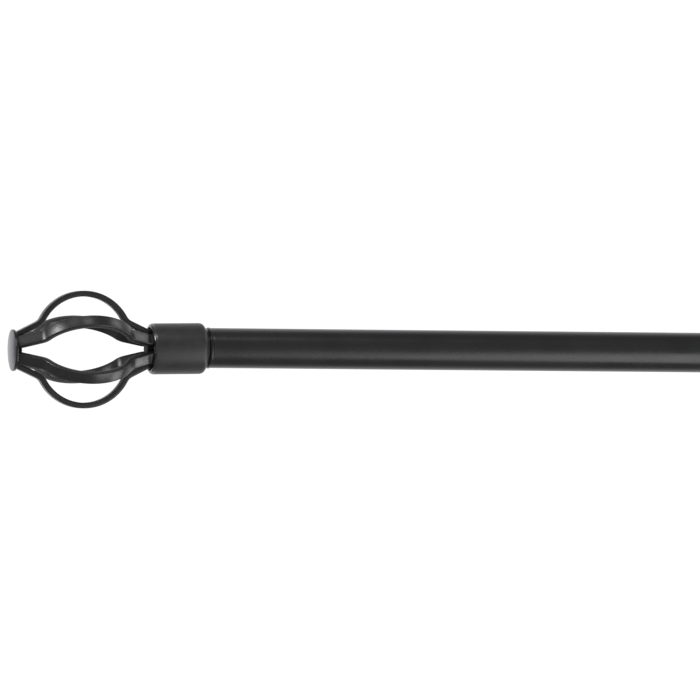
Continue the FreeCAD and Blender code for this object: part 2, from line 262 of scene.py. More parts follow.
# A solid of revolution about its own X axis, put in place, from (x, r, fillet) corners.
def lathe(name, corners, place, segments=128, closed=True, radiusAt=None):
    outline = roundCorners(corners, closed)
    bm = bmesh.new()
    rings = []
    for x, r in outline:
        if r < 1e-6:
            rings.append([bm.verts.new(place @ Vector((x * mm, 0, 0)))])
            continue
        ring = []
        for k in range(segments):
            angle = 2 * math.pi * k / segments
            radius = (radiusAt(r, angle) if radiusAt else r) * mm
            spot = Vector((x * mm, radius * math.cos(angle), radius * math.sin(angle)))
            ring.append(bm.verts.new(place @ spot))
        rings.append(ring)
    pairs = list(zip(rings, rings[1:])) + ([(rings[-1], rings[0])] if closed else [])
    for a, b in pairs:
        for k in range(segments):
            n = (k + 1) % segments
            corner = [a[k % len(a)], a[n % len(a)], b[n % len(b)], b[k % len(b)]]
            kept = list(dict.fromkeys(corner))
            if len(kept) > 2:
                bm.faces.new(kept)
    return objectFrom(name, bm)


# One mesh from several, each keeping its own material.
def joined(name, parts):
    bm = bmesh.new()
    slots = []
    for part in parts:
        first = len(bm.faces)
        bm.from_mesh(part.data)
        bm.faces.ensure_lookup_table()
        slot = len(slots)
        for face in bm.faces[first:]:
            face.material_index = slot
        slots.append(part.data.materials[0])
        bpy.data.objects.remove(part)
    mesh = bpy.data.meshes.new(name)
    bm.to_mesh(mesh)
    bm.free()
    for material in slots:
        mesh.materials.append(material)
    piece = bpy.data.objects.new(name, mesh)
    scene.collection.objects.link(piece)
    piece.data.set_sharp_from_angle(angle=math.radians(smoothAngle))
    return piece


# The piece is shown in place of these CAD nodes and moves with their body.
def stand(piece, body, slot, *nodes):
    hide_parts(*nodes)
    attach(piece, body)
    return piece


# Takes the cutter's shape out of the piece.
def cut(piece, cutter):
    modifier = piece.modifiers.new("cut", "BOOLEAN")
    modifier.object = cutter
    modifier.solver = "EXACT"
    return applied(piece, cutter)


# Rounds the piece's hard edges.
def bevelled(piece, width):
    modifier = piece.modifiers.new("bevel", "BEVEL")
    modifier.width = width * mm
    modifier.segments = 3
    modifier.limit_method = "ANGLE"
    modifier.angle_limit = math.radians(50)
    return applied(piece)


def applied(piece, tool=None):
    depsgraph = bpy.context.evaluated_depsgraph_get()
    mesh = bpy.data.meshes.new_from_object(piece.evaluated_get(depsgraph))
    piece.modifiers.clear()
    piece.data = mesh
    if tool:
        bpy.data.objects.remove(tool)
    return piece


def newTree(name, inputs):
    tree = bpy.data.node_groups.new(name, "GeometryNodeTree")
    tree.interface.new_socket("Geometry", in_out="INPUT", socket_type="NodeSocketGeometry")
    for label, kind in inputs:
        tree.interface.new_socket(label, in_out="INPUT", socket_type=kind)
    tree.interface.new_socket("Geometry", in_out="OUTPUT", socket_type="NodeSocketGeometry")
    return tree, tree.nodes.new("NodeGroupInput"), tree.nodes.new("NodeGroupOutput")


# Ends a tree in plain faces with the given material.
def closeTree(tree, start, end, geometry):
    realize = tree.nodes.new("GeometryNodeRealizeInstances")
    paint = tree.nodes.new("GeometryNodeSetMaterial")
    tree.links.new(geometry, realize.inputs["Geometry"])
    tree.links.new(realize.outputs["Geometry"], paint.inputs["Geometry"])
    tree.links.new(start.outputs["Material"], paint.inputs["Material"])
    tree.links.new(paint.outputs["Geometry"], end.inputs["Geometry"])


# Sweeps a round-edged strip along the input curve and repeats it round the X axis.
def barsAroundTree():
    tree, start, end = newTree("barsAround", [
        ("Width", "NodeSocketFloat"), ("Thickness", "NodeSocketFloat"), ("Edge", "NodeSocketFloat"),
        ("Count", "NodeSocketInt"), ("Material", "NodeSocketMaterial")])
    add, link = tree.nodes.new, tree.links.new
    strip = add("GeometryNodeCurvePrimitiveQuadrilateral")
    link(start.outputs["Width"], strip.inputs["Width"])
    link(start.outputs["Thickness"], strip.inputs["Height"])
    edge = add("GeometryNodeFilletCurve")
    edge.mode = "POLY"
    edge.inputs["Count"].default_value = 4
    link(strip.outputs["Curve"], edge.inputs["Curve"])
    link(start.outputs["Edge"], edge.inputs["Radius"])
    upright = add("GeometryNodeSetCurveNormal")
    upright.mode = "Z_UP"
    link(start.outputs["Geometry"], upright.inputs["Curve"])
    sweep = add("GeometryNodeCurveToMesh")
    sweep.inputs["Fill Caps"].default_value = True
    link(upright.outputs["Curve"], sweep.inputs["Curve"])
    link(edge.outputs["Curve"], sweep.inputs["Profile Curve"])
    points = add("GeometryNodePoints")
    link(start.outputs["Count"], points.inputs["Count"])
    share = add("ShaderNodeMath")
    share.operation = "DIVIDE"
    link(add("GeometryNodeInputIndex").outputs["Index"], share.inputs[0])
    link(start.outputs["Count"], share.inputs[1])
    turn = add("ShaderNodeMath")
    turn.operation = "MULTIPLY"
    turn.inputs[1].default_value = 2 * math.pi
    link(share.outputs[0], turn.inputs[0])
    euler = add("ShaderNodeCombineXYZ")
    link(turn.outputs[0], euler.inputs["X"])
    rotation = add("FunctionNodeEulerToRotation")
    link(euler.outputs["Vector"], rotation.inputs["Euler"])
    place = add("GeometryNodeInstanceOnPoints")
    link(points.outputs[0], place.inputs["Points"])
    link(sweep.outputs["Mesh"], place.inputs["Instance"])
    link(rotation.outputs["Rotation"], place.inputs["Rotation"])
    closeTree(tree, start, end, place.outputs["Instances"])
    return tree


# A helical ridge round the X axis, from the origin towards +X.
def threadTree():
    tree, start, end = newTree("screwThread", [
        ("Radius", "NodeSocketFloat"), ("Pitch", "NodeSocketFloat"), ("Turns", "NodeSocketFloat"),
        ("Ridge", "NodeSocketFloat"), ("Material", "NodeSocketMaterial")])
    add, link = tree.nodes.new, tree.links.new
    spiral = add("GeometryNodeCurveSpiral")
    spiral.inputs["Resolution"].default_value = 24
    link(start.outputs["Radius"], spiral.inputs["Start Radius"])
    link(start.outputs["Radius"], spiral.inputs["End Radius"])
    link(start.outputs["Turns"], spiral.inputs["Rotations"])
    height = add("ShaderNodeMath")
    height.operation = "MULTIPLY"
    link(start.outputs["Pitch"], height.inputs[0])
    link(start.outputs["Turns"], height.inputs[1])
    link(height.outputs[0], spiral.inputs["Height"])
    ridge = add("GeometryNodeCurvePrimitiveCircle")
    ridge.inputs["Resolution"].default_value = 4
    link(start.outputs["Ridge"], ridge.inputs["Radius"])
    sweep = add("GeometryNodeCurveToMesh")
    sweep.inputs["Fill Caps"].default_value = True
    link(spiral.outputs["Curve"], sweep.inputs["Curve"])
    link(ridge.outputs["Curve"], sweep.inputs["Profile Curve"])
    lay = add("GeometryNodeTransform")
    lay.inputs["Rotation"].default_value = (0, math.pi / 2, 0)
    link(sweep.outputs["Mesh"], lay.inputs["Geometry"])
    closeTree(tree, start, end, lay.outputs["Geometry"])
    return tree


trees = {"bars": barsAroundTree(), "thread": threadTree()}


# Runs a tree on the source object and returns its result as a plain mesh object, put in place.
def grown(name, tree, source, values, place):
    modifier = source.modifiers.new(tree.name, "NODES")
    modifier.node_group = tree
    for item in tree.interface.items_tree:
        if item.in_out == "INPUT" and item.name in values:
            modifier[item.identifier] = values[item.name]
    scene.collection.objects.link(source)
    depsgraph = bpy.context.evaluated_depsgraph_get()
    mesh = bpy.data.meshes.new_from_object(source.evaluated_get(depsgraph))
    bpy.data.objects.remove(source)
    bm = bmesh.new()
    bm.from_mesh(mesh)
    bmesh.ops.transform(bm, matrix=place, verts=bm.verts)
    bmesh.ops.remove_doubles(bm, verts=bm.verts, dist=1e-7)
    bmesh.ops.recalc_face_normals(bm, faces=bm.faces)
    for face in bm.faces:
        face.material_index = 0
    bm.to_mesh(mesh)
    bm.free()
    mesh.name = name
    piece = bpy.data.objects.new(name, mesh)
    scene.collection.objects.link(piece)
    return finish(piece, values["Material"])


# A poly curve through (x, y, z) points in millimetres.
def pathObject(points):
    curve = bpy.data.curves.new("path", "CURVE")
    curve.dimensions = "3D"
    spline = curve.splines.new("POLY")
    spline.points.add(len(points) - 1)
    for point, spot in zip(spline.points, points):
        point.co = (*(value * mm for value in spot), 1)
    return bpy.data.objects.new("path", curve)


def barsAround(name, path, look, material, place):
    values = {"Width": look["width"] * mm, "Thickness": look["thickness"] * mm, "Edge": look["edge"] * mm,
              "Count": look["count"], "Material": material}
    return grown(name, trees["bars"], pathObject(path), values, place)


def screwThread(name, look, material, place):
    empty = bpy.data.objects.new("thread", bpy.data.meshes.new("thread"))
    values = {"Radius": (look["radius"] - look["ridge"]) * mm, "Pitch": look["pitch"] * mm,
              "Turns": float(look["turns"]), "Ridge": look["ridge"] * mm, "Material": material}
    return grown(name, trees["thread"], empty, values, place)


tubeLook = {"wall": 0.7, "rim": 0.32, "seamAngle": 62, "seamWidth": 0.55, "seamDepth": 0.09, "rubbed": 0.75,
            "sharpAngle": 50}


# A rolled tube with its welded seam as a shallow line at the back.
def tube(name, node, body, low, high, radius):
    r = radius / mm
    length = (high.x - low.x) / mm
    look = tubeLook
    seam = math.radians(look["seamAngle"])

    def dented(outline, angle):
        if outline < r - look["wall"] / 2:
            return outline
        away = (angle - seam) * outline / look["seamWidth"]
        return outline - look["seamDepth"] * math.exp(-away * away)

    inner = r - look["wall"]
    rim = look["rim"]
    corners = [(0, inner, rim * 0.6), (0, r, rim), (length, r, rim), (length, inner, rim * 0.6)]
    piece = lathe(name, corners, Matrix.Translation((low.x, rodY, 0)), 240, radiusAt=dented)
    finish(piece, paints["tubePaint"], look["sharpAngle"])
    rubbed = look["rubbed"] * mm
    polishEdge(piece, low.x - mm, low.x + rubbed, paints["edgePaint"])
    polishEdge(piece, high.x - rubbed, high.x + mm, paints["edgePaint"])
    return stand(piece, body, "black_metal", node)


tube("outerTube", "outer_tube", "rod", outerLow, outerHigh, outerRadius)
tube("innerTube", "inner_tube", "inner_rod", innerLow, innerHigh, innerRadius)

bushLook = {"slip": 0.06, "wall": 1.5, "edge": 0.25, "lipEdge": 0.6, "press": 0.02, "lipGap": 0.03}


# The plastic ring in the wide tube's mouth that the inner tube runs through.
def mouthBush():
    low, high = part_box("mouth_bush")
    bore = innerRadius / mm + bushLook["slip"]
    radius = outerRadius / mm
    deep, lip = (low.x - outerHigh.x) / mm, (high.x - outerHigh.x) / mm
    inside = radius - tubeLook["wall"] - bushLook["press"]
    face = bushLook["lipGap"]
    piece = lathe("mouthBush", [
        (deep, bore, 0.2), (deep, inside, 0.4), (face, inside, 0.1), (face, radius, 0.2),
        (lip, radius, bushLook["lipEdge"]), (lip, bore, bushLook["edge"])],
        Matrix.Translation((outerHigh.x, rodY, 0)), 128)
    finish(piece, blackPlastic)
    return stand(piece, "rod", "black_plastic", "mouth_bush")


# The glider on the inner tube's hidden end.
def tailBush():
    low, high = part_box("tail_bush")
    back, front = (low.x - innerLow.x) / mm, (high.x - innerLow.x) / mm
    wide = (high.z - low.z) / 2 / mm
    inside = innerRadius / mm - tubeLook["wall"] - bushLook["press"]
    bore = inside - bushLook["wall"]
    face = -bushLook["lipGap"]
    piece = lathe("tailBush", [
        (back, bore, 0.3), (back, wide, 0.5), (face, wide, 0.3), (face, inside, 0.1),
        (front, inside, 0.4), (front, bore, 0.2)], Matrix.Translation((innerLow.x, rodY, 0)), 96)
    finish(piece, blackPlastic)
    return stand(piece, "inner_rod", "black_plastic", "tail_bush")


mouthBush()
tailBush()
print("rod made")


# The plugs fit loosely, so each finial hangs about a degree below the tube's line.
playLook = {"droop": 1.04, "sag": 0.14}


# A finial's own frame: its x axis points outwards from the tube's end.
def endPlace(x, turn, play):
    low = Matrix.Translation((x, rodY, -play * playLook["sag"] * mm))
    tilt = Matrix.Rotation(math.radians(play * playLook["droop"]), 4, "Y")
    return low @ Matrix.Rotation(turn, 4, "Z") @ tilt


ends = {
    "left": {"plugPlace": endPlace(leftEnd, math.pi, 0), "place": endPlace(leftEnd, math.pi, 1),
             "bore": outerRadius / mm - tubeLook["wall"]},
    "right": {"plugPlace": endPlace(rightEnd, 0, 0), "place": endPlace(rightEnd, 0, 1),
              "bore": innerRadius / mm - tubeLook["wall"]},
}


# (lowest, highest) distance of a node from its tube's end, outwards, in millimetres.
def outward(node, side):
    low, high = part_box(f"{side}_{node}")
    if side == "left":
        return (leftEnd - high.x) / mm, (leftEnd - low.x) / mm
    return (low.x - rightEnd) / mm, (high.x - rightEnd) / mm


plugLook = {"neckRadius": 7.5, "beadRadius": 8.12, "neckLength": 0.9, "beadEdge": 0.5, "boreRadius": 3.8,
            "holeRadius": 2.1, "web": 2.0, "coreGap": 0.7, "ribGap": 0.06, "seat": 0.05, "neckBend": 0.35}
ribLook = {"width": 1.6, "thickness": 1.2, "edge": 0.25, "count": 6, "start": 0.4, "end": 0.2}


# The ribbed plug with the narrow ring that shows between tube and ferrule.
def plug(side):
    look = plugLook
    place, bore = ends[side]["plugPlace"], ends[side]["bore"]
    deep, collar = outward("plug", side)
    core = bore - look["coreGap"]
    shoulder = collar - look["neckLength"]
    body = lathe(f"{side}PlugBody", [
        (deep, look["boreRadius"], 0.2), (deep, core, 0.5), (look["seat"], core, 0.1),
        (look["seat"], look["beadRadius"], 0.3),
        (shoulder - look["neckBend"], look["beadRadius"], look["beadEdge"]),
        (shoulder + 0.1, look["neckRadius"], 0.2), (collar, look["neckRadius"], 0.1),
        (collar, look["holeRadius"], 0),
        (-look["web"], look["holeRadius"], 0), (-look["web"], look["boreRadius"], 0.3)], place, 128)
    finish(body, blackPlastic)
    ribMiddle = bore - look["ribGap"] - ribLook["thickness"] / 2
    path = [(deep + ribLook["start"], 0, ribMiddle), (-ribLook["end"], 0, ribMiddle)]
    ribs = barsAround(f"{side}PlugRibs", path, ribLook, blackPlastic, place)
    piece = joined(f"{side}Plug", [body, ribs])
    return stand(piece, f"{side}_plug_body", "black_plastic", f"{side}_plug")


ferruleLook = {"radius": 10.1, "wall": 1.5, "rimEdge": 1.35, "insideEdge": 0.14, "baseEdge": 2.1, "web": 4.5,
               "holeRadius": 2.25, "floorEdge": 0.8, "rubbedShare": 0.9}


def ferrule(side):
    look = ferruleLook
    base, mouth = outward("ferrule", side)
    bore = look["radius"] - look["wall"]
    floor = base + look["web"]
    piece = lathe(f"{side}Ferrule", [
        (base, look["holeRadius"], 0.2), (base, look["radius"], look["baseEdge"]),
        (mouth, look["radius"], look["rimEdge"]), (mouth, bore, look["insideEdge"]),
        (floor, bore, look["floorEdge"]), (floor, look["holeRadius"], 0.2)], ends[side]["place"], 160)
    finish(piece, paints["ferrulePaint"])
    rim = (ends[side]["place"] @ Vector(((mouth - look["rimEdge"] * look["rubbedShare"]) * mm, 0, 0))).x
    past = (ends[side]["place"] @ Vector((2 * mouth * mm, 0, 0))).x
    polishEdge(piece, min(rim, past), max(rim, past), paints["edgePaint"])
    return stand(piece, f"{side}_finial", "black_metal", f"{side}_ferrule")


cageLook = {"width": 4.7, "thickness": 2.3, "edge": 0.42, "count": 6, "cageRadius": 23.25,
            "archRadius": 19.85, "kinkBend": 5.6, "neckReach": 27.35, "rootNeck": 7.15, "rootSlope": 0.49,
            "tipNeck": 7.22, "tipSlope": 0.481, "tailRadius": 7.9, "tailBend": 4.0, "tailStart": 8.9,
            "centre": 51.3, "kinkSteps": 10, "bendSteps": 6, "archSteps": 56}


# Points of the shorter arc about a centre, both ends included.
def arcPoints(centre, start, end, steps):
    first, last = start - centre, end - centre
    sweep = math.atan2(first.x * last.y - first.y * last.x, first.dot(last))
    return [centre + Matrix.Rotation(sweep * k / steps, 2) @ first for k in range(steps + 1)]


# Half of a bar's middle line, from its end to the arch's foot, as (distance from the centre, radius).
def neckSide(look, outerR, slope, tipEnd=None):
    angle = math.atan(slope)
    normal = Vector((math.sin(angle), math.cos(angle)))
    half = look["thickness"] / 2
    onNeck = Vector((look["neckReach"], outerR)) - normal * half
    archCentre = Vector((0, look["cageRadius"] - look["archRadius"]))
    middle = look["archRadius"] - half
    away = onNeck + normal * look["kinkBend"] - archCentre
    along = Vector((-normal.y, normal.x))
    lead = away.dot(along)
    step = -lead - math.sqrt(lead * lead - away.length_squared + (middle + look["kinkBend"]) ** 2)
    kink = archCentre + away + along * step
    foot = archCentre + (kink - archCentre).normalized() * middle
    neckTop = kink - normal * look["kinkBend"]
    level = onNeck.dot(normal)
    if tipEnd is not None:
        end = Vector((tipEnd, (level - tipEnd * normal.x) / normal.y))
        return [end] + arcPoints(kink, neckTop, foot, look["kinkSteps"])
    bendHigh = look["tailRadius"] - half + look["tailBend"]
    bendOut = (level + look["tailBend"] - bendHigh * normal.y) / normal.x
    bend = Vector((bendOut, bendHigh))
    tail = Vector((look["centre"] - look["tailStart"], look["tailRadius"] - half))
    tailTop = Vector((bendOut, bendHigh - look["tailBend"]))
    neckFoot = bend - normal * look["tailBend"]
    tailArc = arcPoints(bend, tailTop, neckFoot, look["bendSteps"])
    return [tail] + tailArc + arcPoints(kink, neckTop, foot, look["kinkSteps"])


# The whole middle line of a bar as (distance from the tube's end, radius).
def cagePath(look, tipEnd):
    root = neckSide(look, look["rootNeck"], look["rootSlope"])
    tip = neckSide(look, look["tipNeck"], look["tipSlope"], tipEnd)
    archCentre = Vector((0, look["cageRadius"] - look["archRadius"]))
    rootFoot = Vector((-root[-1].x, root[-1].y))
    arch = arcPoints(archCentre, rootFoot, tip[-1], look["archSteps"])[1:-1]
    line = [Vector((-p.x, p.y)) for p in root] + arch + tip[::-1]
    return [(look["centre"] + p.x, 0, p.y) for p in line]


# Six bent strips from inside the ferrule to the tip button.
def cage(side):
    back = outward("cage_bar_1", side)[1]
    path = cagePath(cageLook, back - cageLook["centre"])
    piece = barsAround(f"{side}Cage", path, cageLook, paints["cagePaint"], ends[side]["place"])
    bars = [f"{side}_cage_bar_{k + 1}" for k in range(cageLook["count"])]
    return stand(piece, f"{side}_finial", "black_metal", *bars)


buttonLook = {"radius": 8.27, "thickness": 1.15, "frontEdge": 0.25, "backEdge": 0.4, "dome": 0.5,
              "domeShare": 0.93, "domeRings": 11, "bossEdge": 0.4, "bossGap": 0.1, "bossOverlap": 0.3}


hexCorner = 1 / math.cos(math.pi / 6)  # a hexagon's corner radius over its apothem


# How far a bar's inner face lies from the axis on its neck, at x from the tube's end.
def tipInnerFace(x):
    slope = cageLook["tipSlope"]
    lean = math.cos(math.atan(slope))
    reach = cageLook["neckReach"] - (x - cageLook["centre"])
    return cageLook["tipNeck"] + reach * slope - cageLook["thickness"] / lean


# The thin domed disc at the tip, on the six-sided boss between the bars.
def button(side):
    look = buttonLook
    low, crown = outward("tip_button", side)
    rim = crown - look["dome"]
    back = rim - look["thickness"]
    domeRadius = (look["radius"] ** 2 + look["dome"] ** 2) / (2 * look["dome"])
    dome = []
    for k in range(look["domeRings"] + 1):
        r = look["radius"] * look["domeShare"] * (1 - k / look["domeRings"])
        dome.append((crown - domeRadius + math.sqrt(domeRadius ** 2 - r * r), r, 0))
    disc = lathe(f"{side}Disc", [(back, 0, 0), (back, look["radius"], look["backEdge"]),
                                 (rim, look["radius"], look["frontEdge"])] + dome,
                 ends[side]["place"], 128, closed=False)
    finish(disc, paints["buttonPaint"])
    cornerOut = tipInnerFace(low) * hexCorner - look["bossGap"]
    cornerIn = tipInnerFace(back) * hexCorner - look["bossGap"]
    seat = back + look["bossOverlap"]
    hexBoss = lathe(f"{side}Boss", [(low, 0, 0), (low, cornerOut, look["bossEdge"]), (seat, cornerIn, 0),
                                    (seat, 0, 0)], ends[side]["place"], 6, closed=False)
    finish(hexBoss, paints["cagePaint"])
    piece = joined(f"{side}TipButton", [disc, hexBoss])
    return stand(piece, f"{side}_finial", "black_metal", f"{side}_tip_button")


hubLook = {"apothem": 5.6, "bodyEnd": 21.5, "noseApothem": 3.3, "bore": 2.06, "boreDepth": 9, "edge": 0.3,
           "noseEdge": 0.4, "gap": 0.05}


# The six-sided core that the bars are welded round, with its narrower nose just past the ferrule's mouth.
def hub(side):
    look = hubLook
    seat, nose = outward("cage_hub", side)
    wide = look["apothem"] * hexCorner - look["gap"]
    narrow = look["noseApothem"] * hexCorner
    bottom = seat + look["boreDepth"]
    piece = lathe(f"{side}Hub", [
        (seat, look["bore"], 0), (seat, wide, look["edge"]), (look["bodyEnd"], wide, 0.5),
        (look["bodyEnd"], narrow, 0.4), (nose, narrow, look["noseEdge"]), (nose, 0, 0), (bottom, 0, 0),
        (bottom, look["bore"], 0)], ends[side]["place"], 6)
    finish(piece, paints["hubPaint"])
    return stand(piece, f"{side}_finial", "black_metal", f"{side}_cage_hub")


screwLook = {"radius": 2.0, "headRadius": 3.4, "headHeight": 2.4, "slotWidth": 0.9, "slotDepth": 1.1,
             "slotReach": 2.3}
screwThreadLook = {"radius": 2.0, "ridge": 0.18, "pitch": 0.7, "turns": 14, "lead": 0.8}


# The cross cut in a screw's head, as a cutting block at x, opening towards -x.
def crossSlot(name, look, x):
    bm = bmesh.new()
    for turn in (0, math.pi / 2):
        size = Vector((2 * look["slotDepth"], 2 * look["slotReach"], look["slotWidth"])) * mm
        block = Matrix.Rotation(turn, 4, "X") @ Matrix.Diagonal((*size, 1))
        bmesh.ops.create_cube(bm, size=1, matrix=Matrix.Translation((x * mm, 0, 0)) @ block)
    return objectFrom(name, bm)


# The screw whose head sits in the plug and whose thread holds the hub.
def plugScrew(side):
    look = screwLook
    place = ends[side]["place"]
    back, point = outward("plug_screw", side)
    neck = back + look["headHeight"]
    body = lathe(f"{side}Screw", [
        (back, 0, 0), (back, look["headRadius"], 0.7), (neck, look["headRadius"], 0.15),
        (neck, look["radius"], 0.15), (point, look["radius"], 0.6), (point, 0, 0)],
        Matrix.Identity(4), 64, closed=False)
    cut(body, crossSlot("cross", look, back))
    body.data.transform(place)
    finish(body, zinc)
    threaded = screwThreadLook["pitch"] * screwThreadLook["turns"] + screwThreadLook["lead"]
    start = Matrix.Translation(((point - threaded) * mm, 0, 0))
    thread = screwThread(f"{side}ScrewThread", screwThreadLook, zinc, place @ start)
    piece = joined(f"{side}PlugScrew", [body, thread])
    return stand(piece, f"{side}_finial", "zinc_plated_steel", f"{side}_plug_screw")


for side in ends:
    plug(side)
    ferrule(side)
    hub(side)
    plugScrew(side)
    cage(side)
    button(side)
print("finials made")


# The brackets are each drawn about the rod's axis at their own x.
toWall = Matrix.Rotation(math.pi / 2, 4, "Z")  # turns +x to +y
toRoom = Matrix.Rotation(-math.pi / 2, 4, "Z")
downwards = Matrix.Rotation(math.pi / 2, 4, "Y")
plateLook = {"edge": 1.1, "backEdge": 0.2, "flatInset": 2, "spacing": 42.0, "holeRadius": 2.3,
             "sinkRadius": 4.3, "sinkDepth": 1.5, "sinkBreak": 0.2, "sinkFlare": 0.25}


# Like lathe, about two centres at z = -reach and +reach: a flat body with two round ends.
def stadium(name, corners, reach, place, segments=48):
    bm = bmesh.new()
    rings = []
    for x, r in roundCorners(corners, False):
        ring = []
        for centre, first in ((reach, 0), (-reach, math.pi)):
            for k in range(segments + 1):
                angle = first + math.pi * k / segments
                spot = Vector((x, r * math.cos(angle), centre + r * math.sin(angle))) * mm
                ring.append(bm.verts.new(place @ spot))
        rings.append(ring)
    for a, b in zip(rings, rings[1:]):
        for k in range(len(a)):
            n = (k + 1) % len(a)
            bm.faces.new((a[k], a[n], b[n], b[k]))
    bm.faces.new(rings[0])
    bm.faces.new(rings[-1])
    return objectFrom(name, bm)


# The plate with two countersunk holes for the wall screws.
def wallPlate(side, x):
    look = plateLook
    low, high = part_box(f"{side}_wall_plate")
    front, back = (low.y - rodY) / mm, (high.y - rodY) / mm
    half = (high.x - low.x) / 2 / mm
    place = Matrix.Translation((x, rodY, 0)) @ toWall
    flat = half - look["flatInset"]
    piece = stadium(f"{side}WallPlate", [
        (back, flat, 0), (back, half, look["backEdge"]), (front, half, look["edge"]), (front, flat, 0)],
        (high.z - low.z) / 2 / mm - half, place)
    mouth, bore = look["sinkRadius"] + look["sinkFlare"], look["holeRadius"]
    corners = [
        (front - 1, 0, 0), (front - 1, mouth, 0), (front, mouth, 0),
        (front + look["sinkBreak"], look["sinkRadius"], 0), (front + look["sinkDepth"], bore, 0),
        (back + 1, bore, 0), (back + 1, 0, 0)]
    for end in (-1, 1):
        centre = place @ Matrix.Translation((0, 0, end * look["spacing"] / 2 * mm))
        cut(piece, lathe("hole", corners, centre, 64, closed=False))
    finish(piece, paints["bracketPaint"])
    return stand(piece, f"{side}_wall_body", "black_metal", f"{side}_wall_plate")


socketLook = {"radius": 6.5, "bore": 4.16, "edge": 0.8, "collarRadius": 9.5, "collarDepth": 3.0, "weld": 1.2,
              "lock": 37.0, "bossRadius": 4.2, "bossStart": 5.0, "bossReach": 8.5, "holeRadius": 2.5}


# A short round boss with a bore, flared where it meets the wall that it stands on.
def boss(name, look, x, end, place):
    bore, radius = look["holeRadius"], look["bossRadius"]
    flare = 0.9
    piece = lathe(name, [
        (x, bore, 0), (x, radius + flare, 0), (x + flare, radius + flare, 0.2), (x + 1.5, radius, 0.4),
        (end, radius, 0.5), (end, bore, 0.3)], place, 64)
    return finish(piece, paints["bracketPaint"])


# Cuts a screw's shaft into a wall, from near the axis to past the boss's end.
def drill(piece, look, reach, place):
    start, end, bore = 2, reach + 1, look["holeRadius"]
    cut(piece, lathe("shaft", [(start, 0, 0), (start, bore, 0), (end, bore, 0), (end, 0, 0)], place, 48,
                     closed=False))
    finish(piece, paints["bracketPaint"])


# The tube on the wall plate that the arm slides in, with the locking screw's boss under it.
def armSocket(side, x):
    look = socketLook
    low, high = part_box(f"{side}_arm_socket")
    front, back = (low.y - rodY) / mm, (high.y - rodY) / mm
    collar = back - look["collarDepth"]
    atRod = Matrix.Translation((x, rodY, 0))
    body = lathe(f"{side}SocketBody", [
        (front, look["bore"], 0.35), (front, look["radius"], look["edge"]),
        (collar, look["radius"], look["weld"]), (collar, look["collarRadius"], look["edge"]),
        (back, look["collarRadius"], 0.1), (back, look["bore"], 0.1)], atRod @ toWall, 96)
    under = Matrix.Translation((x, rodY + look["lock"] * mm, 0)) @ downwards
    drill(body, look, look["bossReach"], under)
    stub = boss(f"{side}SocketBoss", look, look["bossStart"], look["bossReach"], under)
    piece = joined(f"{side}ArmSocket", [body, stub])
    return stand(piece, f"{side}_wall_body", "black_metal", f"{side}_arm_socket")


armLook = {"radius": 4.1, "tenon": 2.58, "tenonLength": 5.0, "edge": 0.8}


def arm(side, x):
    look = armLook
    low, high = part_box(f"{side}_arm")
    start, end = (low.y - rodY) / mm, (high.y - rodY) / mm
    shoulder = start + look["tenonLength"]
    piece = lathe(f"{side}Arm", [
        (start, 0, 0), (start, look["tenon"], 0.3), (shoulder, look["tenon"], 0.1),
        (shoulder, look["radius"], 0.2), (end, look["radius"], look["edge"]), (end, 0, 0)],
        Matrix.Translation((x, rodY, 0)) @ toWall, 96, closed=False)
    finish(piece, paints["bracketPaint"])
    return stand(piece, f"{side}_arm_body", "black_metal", f"{side}_arm")


cradleLook = {"inner": 8.2375, "lip": 6.5, "bevel": 0.45, "steps": 48, "rearStart": 8.5,
              "rearFlare": 0.8, "rearBossRadius": 5.6, "rearEdge": 0.8, "tenon": 2.6, "tenonLength": 5.0,
              "bossRadius": 4.2, "bossStart": 0.8, "bossHeight": 2.0, "holeRadius": 2.5}
stripLook = {"width": 2.4, "thickness": 14.0, "edge": 0.6, "count": 1}  # width is the hook's wall


# The open-topped hook, bent from strip, with a boss for the arm and one for the thumb screw.
def cradle(side, x):
    look = cradleLook
    middle = look["inner"] + stripLook["width"] / 2
    outer = look["inner"] + stripLook["width"]
    angles = [math.pi * k / look["steps"] for k in range(look["steps"] + 1)]
    bend = [(-middle * math.cos(angle), -middle * math.sin(angle), 0) for angle in angles]
    path = [(-middle, look["lip"], 0)] + bend + [(middle, look["lip"], 0)]
    across = Matrix(((0, 0, 1, 0), (1, 0, 0, 0), (0, 1, 0, 0), (0, 0, 0, 1)))  # x to y, y to z, z to x
    atRod = Matrix.Translation((x, rodY, 0))
    strip = barsAround(f"{side}Strip", path, stripLook, paints["bracketPaint"], atRod @ across)
    bevelled(strip, look["bevel"])
    reach = outer + look["bossHeight"]
    drill(strip, look, reach, atRod @ toRoom)
    end = (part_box(f"{side}_cradle")[1].y - rodY) / mm
    start, radius = look["rearStart"], look["rearBossRadius"]
    wide, socket = radius + look["rearFlare"], end - look["tenonLength"]
    rear = lathe(f"{side}RearBoss", [
        (start, 0, 0), (start, wide, 0), (start + 2.0, wide, 0.2), (start + 2.9, radius, 0.8),
        (end, radius, look["rearEdge"]), (end, look["tenon"], 0.2),
        (socket, look["tenon"], 0), (socket, 0, 0)], atRod @ toWall, 64, closed=False)
    finish(rear, paints["bracketPaint"])
    front = boss(f"{side}FrontBoss", look, look["inner"] + look["bossStart"], reach, atRod @ toRoom)
    piece = joined(f"{side}Cradle", [strip, rear, front])
    return stand(piece, f"{side}_arm_body", "black_metal", f"{side}_cradle")


